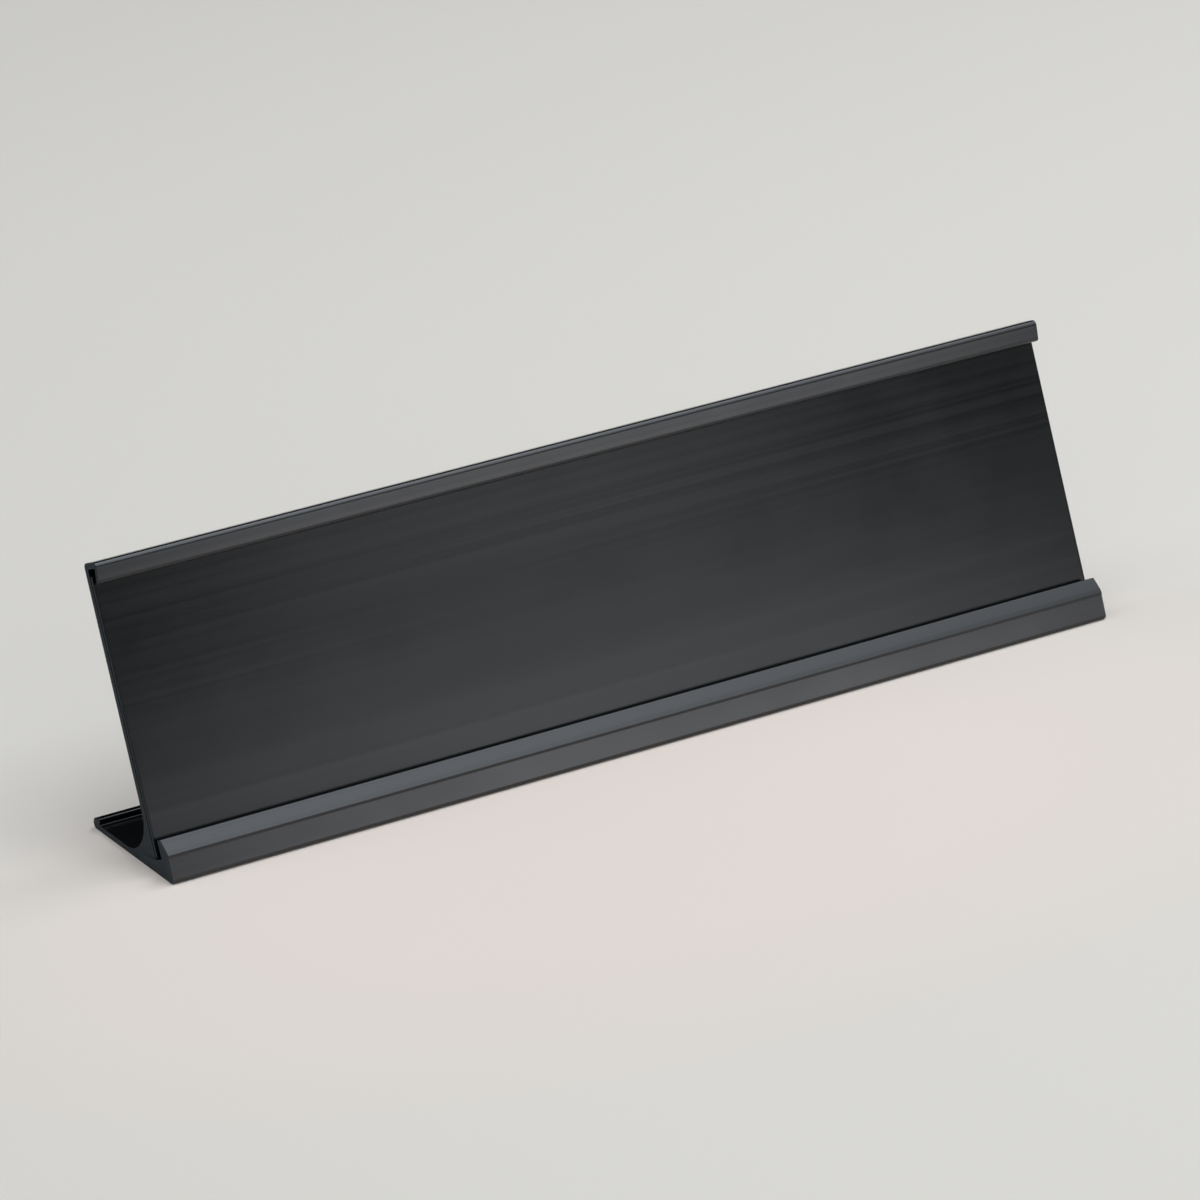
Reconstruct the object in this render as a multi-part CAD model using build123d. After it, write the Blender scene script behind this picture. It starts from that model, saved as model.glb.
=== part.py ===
from build123d import *
import math
import os

# Desk name plate: an aluminium extrusion that leans back on its own foot, and a bare plate that slides in its slots.
# Millimetres. X runs along the plate, Y from the front to the back, Z up from the desk.
# The origin is on the desk, in the middle of the length and of the depth.

# Name plate: a blank of the two by eight inch size
plate_height = 50.8
plate_thickness = 0.5
plate_corner_radius = 0.5
plate_end_setback = 0.1
plate_slide_gap = 0.08
plate_lift_clearance = 1.35
plate_front_clearance = 1.7

# Holder as a whole: its cut length, its lean from upright in degrees, and the leaning web
holder_length = 203.2
lean_angle = 23.9
web_thickness = 1.15
web_foot_setback = 5.1
web_root_radius = 6.2

# Lower lip, which carries the plate
slot_floor_height = 2.75
lower_slot_depth = 3.45
lower_lip_land = 1.16
bevel_height = 2.1
bevel_run = 1.35
bevel_end_radius = 2.0
toe_radius = 0.7
slot_corner_radius = 0.15
lower_lip_edge_radius = 0.2

# Fine ridge along the bevel's lower edge: a steeper face above its crest, and a step back to the apron below
ridge_face_height = 0.85
ridge_face_run = 0.35
ridge_step_height = 0.45
ridge_step_depth = 0.2
ridge_crest_radius = 0.2
ridge_root_radius = 0.3

# Upper lip, which leans in over the plate
upper_slot_depth = 2.9
upper_slot_mouth_inset = 0.15
upper_slot_root_relief = 0.4
upper_lip_tip_thickness = 0.8
upper_lip_root_thickness = 0.93
upper_lip_tip_round_shares = (0.08, 1.0)
top_wall_thickness = 1.15
top_front_radius = 1.0
top_rear_radius = 0.9

# Foot, with the rolled rim along its rear edge
foot_depth = 28.15
foot_thickness = 1.1
rim_thickness = 2.1
rim_height = 2.15
rim_back_round_height_share = 0.48
rim_back_round_thickness_share = 0.57
rim_crest_round_share = 0.45
rim_root_round_share = 0.3

# Sizes that follow from the ones above
lean = math.radians(lean_angle)
plate_length = holder_length - 2 * plate_end_setback
lower_slot_width = plate_thickness + plate_front_clearance
upper_slot_mouth_width = lower_slot_width - upper_slot_mouth_inset
upper_slot_root_width = lower_slot_width + upper_slot_root_relief
lower_lip_top = slot_floor_height + lower_slot_depth
slot_ceiling = slot_floor_height + plate_height + plate_lift_clearance
upper_lip_bottom = slot_ceiling - upper_slot_depth
holder_top = slot_ceiling + top_wall_thickness


def on_web(up, out):
    """The place, in Y and Z from the toe, that lies up along the web's front face and out in front of it."""
    y = web_foot_setback + up * math.sin(lean) - out * math.cos(lean)
    z = up * math.cos(lean) + out * math.sin(lean)
    return y, z


def lower_lip_corners():
    """From the toe up the apron, over the ridge, the bevel and the land, and down into the lower slot."""
    land_out = lower_slot_width + lower_lip_land
    bevel_out = land_out + bevel_run
    bevel_end = lower_lip_top - bevel_height
    crest_out = bevel_out + ridge_face_run
    crest = bevel_end - ridge_face_height
    return [
        ((0, 0), toe_radius),
        (on_web(crest - ridge_step_height, crest_out - ridge_step_depth), ridge_root_radius),
        (on_web(crest, crest_out), ridge_crest_radius),
        (on_web(bevel_end, bevel_out), bevel_end_radius),
        (on_web(lower_lip_top, land_out), lower_lip_edge_radius),
        (on_web(lower_lip_top, lower_slot_width), lower_lip_edge_radius),
        (on_web(slot_floor_height, lower_slot_width), slot_corner_radius),
        (on_web(slot_floor_height, 0), slot_corner_radius),
    ]


def upper_lip_corners():
    """From the upper slot's ceiling, round the lip's tip and over the top to the web's rear face."""
    inner_share, outer_share = upper_lip_tip_round_shares
    tip_out = upper_slot_mouth_width + upper_lip_tip_thickness
    root_out = upper_slot_root_width + upper_lip_root_thickness
    return [
        (on_web(slot_ceiling, 0), slot_corner_radius),
        (on_web(slot_ceiling, upper_slot_root_width), slot_corner_radius),
        (on_web(upper_lip_bottom, upper_slot_mouth_width), inner_share * upper_lip_tip_thickness),
        (on_web(upper_lip_bottom, tip_out), outer_share * upper_lip_tip_thickness),
        (on_web(holder_top, root_out), top_front_radius),
        (on_web(holder_top, -web_thickness), top_rear_radius),
    ]


def foot_corners():
    """From the root between web and foot, back along the foot and round its rim to the heel."""
    root_y = web_foot_setback + web_thickness / math.cos(lean) + foot_thickness * math.tan(lean)
    rim_front = foot_depth - rim_thickness
    rim_wall = rim_height - foot_thickness
    back_round = min(rim_height * rim_back_round_height_share, rim_thickness * rim_back_round_thickness_share)
    return [
        ((root_y, foot_thickness), web_root_radius),
        ((rim_front, foot_thickness), rim_wall * rim_root_round_share),
        ((rim_front, rim_height), rim_wall * rim_crest_round_share),
        ((foot_depth, rim_height), back_round),
        ((foot_depth, 0), back_round),
    ]


def holder_profile():
    """The extrusion's section, with its toe at the origin: one closed outline with every corner rounded."""
    corners = lower_lip_corners() + upper_lip_corners() + foot_corners()
    points = [point for point, radius in corners]
    radii = [radius for point, radius in corners]
    return make_face(FilletPolyline(points, radius=radii, close=True))


def holder_extrusion(profile):
    """The section drawn along X to the cut length."""
    return extrude(Plane.YZ * profile, amount=holder_length / 2, dir=(1, 0, 0), both=True)


def name_plate():
    """The bare plate, standing on the lower slot's floor and leaning back on the web."""
    web_face = Plane(origin=(0, *on_web(0, 0)), x_dir=(1, 0, 0), z_dir=(0, -math.cos(lean), math.sin(lean)))
    middle = slot_floor_height + plate_slide_gap + plate_height / 2
    blank = extrude(RectangleRounded(plate_length, plate_height, plate_corner_radius), amount=plate_thickness)
    return web_face * Pos(0, middle, plate_slide_gap) * blank


profile = holder_profile()
to_origin = Pos(0, -profile.bounding_box().center().X, 0)
os.makedirs("parts", exist_ok=True)
export_step(to_origin * holder_extrusion(profile), "parts/holder_extrusion.step")
export_step(to_origin * name_plate(), "parts/name_plate.step")
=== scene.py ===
import math

import bpy
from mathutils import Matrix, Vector

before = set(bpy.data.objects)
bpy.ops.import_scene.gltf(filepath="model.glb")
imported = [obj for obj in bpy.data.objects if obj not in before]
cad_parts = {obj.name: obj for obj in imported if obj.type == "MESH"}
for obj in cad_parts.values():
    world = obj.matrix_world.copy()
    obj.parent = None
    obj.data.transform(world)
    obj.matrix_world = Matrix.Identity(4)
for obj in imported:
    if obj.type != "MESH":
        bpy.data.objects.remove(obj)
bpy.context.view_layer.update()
MM = 0.001

# Camera: where the photograph was taken from, as angles round the part, a distance and a lens
VIEW_AZIMUTH = -33.42
VIEW_ELEVATION = 24.32
VIEW_DISTANCE = 1319.7 * MM
VIEW_TARGET = Vector((-2.82, 0.545, 24.46)) * MM
LENS_MM = 218.47
SENSOR_MM = 36.0

# Edges: the break on each piece, and the least angle between two faces that counts as a sharp edge
HOLDER_EDGE_BREAK = 0.04 * MM
PLATE_EDGE_BREAK = 0.03 * MM
SHARP_ANGLE = math.radians(50)
BREAK_SEGMENTS = 2
WELD_DISTANCE = 0.001 * MM

# Die lines along the length: layers of noise, with cycles per metre along X, Y and Z
DIE_LINES = ((1.5, 450.0, 450.0), (2.5, 1000.0, 1000.0), (5.0, 2400.0, 2400.0))
LINE_DEPTH = 0.0006 * MM
NOISE_MEAN = 0.5

# The lines have the low share of their strength below the first height, and all of it above the second
LINES_FADE = (28 * MM, 42 * MM)
LINES_LOW_SHARE = 0.38

# Each contrast is the stretch of its noise that runs from the first look to the second
LINE_CONTRAST = (0.41, 0.59)
WEAR_CONTRAST = (0.35, 0.65)
SAW_CONTRAST = (0.3, 0.7)

# Black anodised faces: colour and shine between the lines and on them, and a satin gloss
FACE_COLOURS = ((0.0022, 0.0024, 0.0026, 1), (0.0048, 0.0051, 0.0055, 1))
SHINE_COLOURS = ((0.82, 0.843, 0.875, 1), (0.98, 0.993, 1.0, 1))
FACE_ROUGHNESS = (0.14, 0.19)
ANISOTROPY = 0.3
FILM_IOR = 1.6

# Smudges of handling: cycles per metre, and how much they count beside the lines in the gloss
SMUDGES = 45.0
SMUDGE_DETAIL = 4.0
SMUDGE_FINE_SHARE = 0.6
SMUDGES_TO_LINES = 3

# Cut ends: matte saw and shear marks, and how squarely a face looks along X to count as one
SAW_MARKS = (200.0, 300.0, 2500.0)
SAW_DETAIL = 2.0
SAW_DEPTH = 0.03 * MM
SAWN_COLOURS = ((0.001, 0.005, 0.0085, 1), (0.008, 0.0165, 0.024, 1))
SHEARED_COLOURS = ((0.006, 0.011, 0.015, 1), (0.015, 0.025, 0.033, 1))
CUT_ROUGHNESS = 0.8
CUT_FACING = (0.6, 0.9)

# Floor: pale, with a painted pool of warm light in front of the holder, round a centre and between two
# distances from it
FLOOR_SIZE = 6.0
FLOOR_COLOUR = (0.783, 0.727, 0.659, 1)
FLOOR_ROUGHNESS = 0.7
FLOOR_PAINTED_GLOW_COLOUR = (0.858, 0.736, 0.660, 1)
FLOOR_PAINTED_GLOW_CENTRE = Vector((-10, -45, 0)) * MM
FLOOR_PAINTED_GLOW_FADE = (15 * MM, 105 * MM)
FLOOR_PAINTED_GLOW_STRETCH = (0.5, 1.0, 1.0)

# Light: a dim room, and soft boxes with places and sizes in metres and power in watts
ROOM_COLOUR = (1, 1, 1, 1)
ROOM_STRENGTH = 0.01
COOL_LIGHT = (0.885, 0.945, 1.0)
CARD_LIGHT = (0.915, 0.95, 1.0)
LOW_LIGHT = (0.985, 0.983, 1.0)
PART_MIDDLE = (0, 0, 0.05)
SOFTBOXES = {
    "overhead": dict(at=(0.24, -0.19, 1.0), aim=(0.24, -0.19, 0), size=(2.0, 0.98), power=14.6, core=0.2),
    "rear_overhead": dict(at=(0.74, 0.31, 1.0), aim=(0.74, 0.31, 0), size=(1.2, 0.28), power=5.4, core=0.5),
    "left_fill": dict(at=(-0.75, 0.4, 1.0), aim=(0, 0.3, 0), size=(0.7, 0.9), power=4.0),
    "left_front": dict(at=(-0.56, -0.90, 0.42), aim=PART_MIDDLE, size=(1.7, 0.8), power=2.6),
    "right_front": dict(at=(1.20, -0.42, 0.40), aim=PART_MIDDLE, size=(0.6, 0.8), power=0.8),
    "left_back": dict(at=(-0.8, 0.9, 0.40), aim=PART_MIDDLE, size=(1.2, 0.6), power=1.4),
    "low_card": dict(at=(0.605, -1.01, 0.194), aim=(0.605, 0, 0.194), size=(0.68, 0.312), power=1.42,
                     colour=LOW_LIGHT, core=0.2),
    "high_card": dict(at=(0.61, -1.01, 0.434), aim=(0.61, 0, 0.434), size=(0.38, 0.062), power=0.106,
                      colour=CARD_LIGHT, core=0.2),
    "upper_card": dict(at=(0.53, -0.55, 0.56), aim=(0.53, 0, 0.1), size=(1.0, 0.4), power=0.95,
                       colour=CARD_LIGHT, core=0.3),
}


def direction(azimuth, elevation):
    """Unit vector from the part to a place seen at that azimuth and elevation; azimuth 0 is the front."""
    a = math.radians(azimuth)
    e = math.radians(elevation)
    return Vector((math.sin(a) * math.cos(e), -math.cos(a) * math.cos(e), math.sin(e)))


def link(obj):
    bpy.context.scene.collection.objects.link(obj)
    return obj


def point(obj, way):
    """Turns a camera or light to look that way, with its top up."""
    obj.rotation_mode = "QUATERNION"
    obj.rotation_quaternion = way.to_track_quat("-Z", "Y")


# Edges: sharp ones are square in the solids, and get a small break and soft normals here
def break_edges(node, width):
    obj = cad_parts[node]
    weld = obj.modifiers.new("weld", "WELD")
    weld.merge_threshold = WELD_DISTANCE
    bevel = obj.modifiers.new("edge_break", "BEVEL")
    bevel.width = width
    bevel.segments = BREAK_SEGMENTS
    bevel.limit_method = "ANGLE"
    bevel.angle_limit = SHARP_ANGLE
    bevel.use_clamp_overlap = False
    normals = obj.modifiers.new("normals", "WEIGHTED_NORMAL")
    normals.mode = "FACE_AREA"
    normals.keep_sharp = False


class Tree:
    """The node tree of a material or a light, with short ways to build it up."""

    def __init__(self, owner, shader="Principled BSDF"):
        owner.use_nodes = True
        self.nodes = owner.node_tree.nodes
        self.links = owner.node_tree.links
        self.shader = self.nodes[shader]

    def add(self, kind, **settings):
        node = self.nodes.new(kind)
        for name, value in settings.items():
            setattr(node, name, value)
        return node

    def feed(self, source, socket):
        """Links the source to the socket if it is a socket too, or else sets it as the socket's value."""
        if isinstance(source, bpy.types.NodeSocket):
            self.links.new(source, socket)
        else:
            socket.default_value = source

    def math(self, operation, a, b=None):
        node = self.add("ShaderNodeMath", operation=operation)
        self.feed(a, node.inputs[0])
        if b is not None:
            self.feed(b, node.inputs[1])
        return node.outputs[0]

    def mean(self, values):
        total = values[0]
        for value in values[1:]:
            total = self.math("ADD", total, value)
        return self.math("DIVIDE", total, float(len(values)))

    def noise(self, vector, scale=1.0, detail=0.0, rough=0.5):
        node = self.add("ShaderNodeTexNoise", noise_dimensions="3D")
        self.feed(vector, node.inputs["Vector"])
        node.inputs["Scale"].default_value = scale
        node.inputs["Detail"].default_value = detail
        node.inputs["Roughness"].default_value = rough
        return node.outputs["Fac"]

    def stretched(self, vector, scales):
        node = self.add("ShaderNodeMapping", vector_type="POINT")
        self.feed(vector, node.inputs["Vector"])
        node.inputs["Scale"].default_value = scales
        return node.outputs["Vector"]

    def split(self, vector, axis):
        node = self.add("ShaderNodeSeparateXYZ")
        self.feed(vector, node.inputs[0])
        return node.outputs[axis]

    def distance(self, vector, place):
        node = self.add("ShaderNodeVectorMath", operation="DISTANCE")
        self.feed(vector, node.inputs[0])
        self.feed(place, node.inputs[1])
        return node.outputs["Value"]

    def spread(self, value, low, high, to_low=0.0, to_high=1.0, easing="LINEAR"):
        """The value's range from low to high, spread over the range from to_low to to_high."""
        node = self.add("ShaderNodeMapRange", clamp=True, interpolation_type=easing)
        self.feed(value, node.inputs["Value"])
        for name, number in zip(("From Min", "From Max", "To Min", "To Max"), (low, high, to_low, to_high)):
            self.feed(number, node.inputs[name])
        return node.outputs["Result"]

    def blend(self, factor, a, b):
        """A colour between a and b."""
        node = self.add("ShaderNodeMix", data_type="RGBA")
        self.feed(factor, node.inputs["Factor"])
        self.feed(a, node.inputs["A"])
        self.feed(b, node.inputs["B"])
        return node.outputs["Result"]


# Black anodised aluminium, in layers
def cut_ends(t, normal):
    """One on faces that look along X, zero on all others."""
    return t.spread(t.math("ABSOLUTE", t.split(normal, "X")), *CUT_FACING)


def die_lines(t, place, cut):
    """Fine lines along X, above and below the mean of the noise, and none on the cut ends."""
    raw = t.mean([t.noise(t.stretched(place, scales)) for scales in DIE_LINES])
    by_height = t.spread(t.split(place, "Z"), *LINES_FADE, LINES_LOW_SHARE, 1.0)
    strength = t.math("MULTIPLY", by_height, t.math("SUBTRACT", 1.0, cut))
    return t.math("ADD", t.math("MULTIPLY", t.math("SUBTRACT", raw, NOISE_MEAN), strength), NOISE_MEAN)


def face_roughness(t, place, lines):
    """A satin gloss, uneven where hands have been and a little along the lines."""
    handled = t.noise(place, SMUDGES, SMUDGE_DETAIL, SMUDGE_FINE_SHARE)
    worn = t.mean([handled] * SMUDGES_TO_LINES + [lines])
    return t.spread(worn, *WEAR_CONTRAST, *FACE_ROUGHNESS)


def relief(t, lines, saw, cut):
    """The lines on the faces and the saw marks on the cut ends, with heights in metres, as a normal."""
    line_height = t.math("MULTIPLY", lines, LINE_DEPTH)
    saw_height = t.math("MULTIPLY", saw, SAW_DEPTH)
    bump = t.add("ShaderNodeBump")
    bump.inputs["Distance"].default_value = 1.0
    bump.inputs["Strength"].default_value = 1.0
    t.feed(t.spread(cut, 0.0, 1.0, line_height, saw_height), bump.inputs["Height"])
    return bump.outputs["Normal"]


def black_anodised(name, cut_colours):
    """Black anodised aluminium: fine lines along X on the faces, matte and paler on the cut ends."""
    material = bpy.data.materials.new(name)
    t = Tree(material)
    coords = t.add("ShaderNodeTexCoord")
    place = coords.outputs["Object"]
    cut = cut_ends(t, coords.outputs["Normal"])
    lines = die_lines(t, place, cut)
    pale = t.spread(lines, *LINE_CONTRAST)
    saw = t.noise(t.stretched(place, SAW_MARKS), detail=SAW_DETAIL)
    cut_colour = t.blend(t.spread(saw, *SAW_CONTRAST), *cut_colours)
    roughness = t.spread(cut, 0.0, 1.0, face_roughness(t, place, lines), CUT_ROUGHNESS)
    tangent = t.add("ShaderNodeTangent", direction_type="RADIAL", axis="X")
    inputs = t.shader.inputs
    t.feed(t.blend(cut, t.blend(pale, *FACE_COLOURS), cut_colour), inputs["Base Color"])
    t.feed(t.blend(pale, *SHINE_COLOURS), inputs["Specular Tint"])
    t.feed(roughness, inputs["Roughness"])
    t.feed(relief(t, lines, saw, cut), inputs["Normal"])
    t.feed(tangent.outputs["Tangent"], inputs["Tangent"])
    inputs["Anisotropic"].default_value = ANISOTROPY
    inputs["IOR"].default_value = FILM_IOR
    return material


def dress(node, material):
    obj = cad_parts[node]
    obj.data.materials.clear()
    obj.data.materials.append(material)


# Stage: floor, light and camera
def pale_floor_painted_glow():
    material = bpy.data.materials.new("pale_floor_painted_glow")
    t = Tree(material)
    place = t.stretched(t.add("ShaderNodeTexCoord").outputs["Object"], FLOOR_PAINTED_GLOW_STRETCH)
    # Painted light: the floor is warmer and brighter in front of the holder, as if lit there, fading out
    # between two distances
    painted_glow = t.spread(t.distance(place, FLOOR_PAINTED_GLOW_CENTRE), *FLOOR_PAINTED_GLOW_FADE, 1.0, 0.0, "SMOOTHSTEP")
    t.feed(t.blend(painted_glow, FLOOR_COLOUR, FLOOR_PAINTED_GLOW_COLOUR), t.shader.inputs["Base Color"])
    t.shader.inputs["Roughness"].default_value = FLOOR_ROUGHNESS
    return material


def floor():
    half = FLOOR_SIZE / 2
    corners = [(-half, -half, 0), (half, -half, 0), (half, half, 0), (-half, half, 0)]
    mesh = bpy.data.meshes.new("floor")
    mesh.from_pydata(corners, [], [(0, 1, 2, 3)])
    mesh.materials.append(pale_floor_painted_glow())
    link(bpy.data.objects.new("floor", mesh))


def room():
    world = bpy.data.worlds.new("studio")
    world.use_nodes = True
    background = world.node_tree.nodes["Background"]
    background.inputs["Color"].default_value = ROOM_COLOUR
    background.inputs["Strength"].default_value = ROOM_STRENGTH
    bpy.context.scene.world = world


def fade_sides(light, core):
    """Leaves a light even over the core share of its width, and fades it out towards its sides."""
    half_width = 0.5
    t = Tree(light, "Emission")
    across = t.split(t.add("ShaderNodeNewGeometry").outputs["Parametric"], "X")
    off_centre = t.math("ABSOLUTE", t.math("SUBTRACT", across, half_width))
    strength = t.spread(off_centre, core * half_width, half_width, 1.0, 0.0, "SMOOTHSTEP")
    t.feed(strength, t.shader.inputs["Strength"])


def softbox(name, at, aim, size, power, colour=COOL_LIGHT, core=1.0):
    """A rectangular light that the camera doesn't see; it is even all over if its core is one."""
    light = bpy.data.lights.new(name, "AREA")
    light.shape = "RECTANGLE"
    light.size, light.size_y = size
    light.energy = power
    light.color = colour
    if core < 1.0:
        fade_sides(light, core)
    obj = link(bpy.data.objects.new(name, light))
    obj.location = at
    point(obj, Vector(aim) - Vector(at))
    obj.visible_camera = False


def camera():
    data = bpy.data.cameras.new("camera")
    data.lens = LENS_MM
    data.sensor_width = SENSOR_MM
    obj = link(bpy.data.objects.new("camera", data))
    back = direction(VIEW_AZIMUTH, VIEW_ELEVATION)
    obj.location = VIEW_TARGET + back * VIEW_DISTANCE
    point(obj, -back)
    bpy.context.scene.camera = obj


# The dressed part on its stage
break_edges("holder_extrusion", HOLDER_EDGE_BREAK)
break_edges("name_plate", PLATE_EDGE_BREAK)
dress("holder_extrusion", black_anodised("anodised_extrusion", SAWN_COLOURS))
dress("name_plate", black_anodised("anodised_sheet", SHEARED_COLOURS))
floor()
room()
for name, settings in SOFTBOXES.items():
    softbox(name, **settings)
camera()
bpy.context.scene.view_settings.view_transform = "Standard"
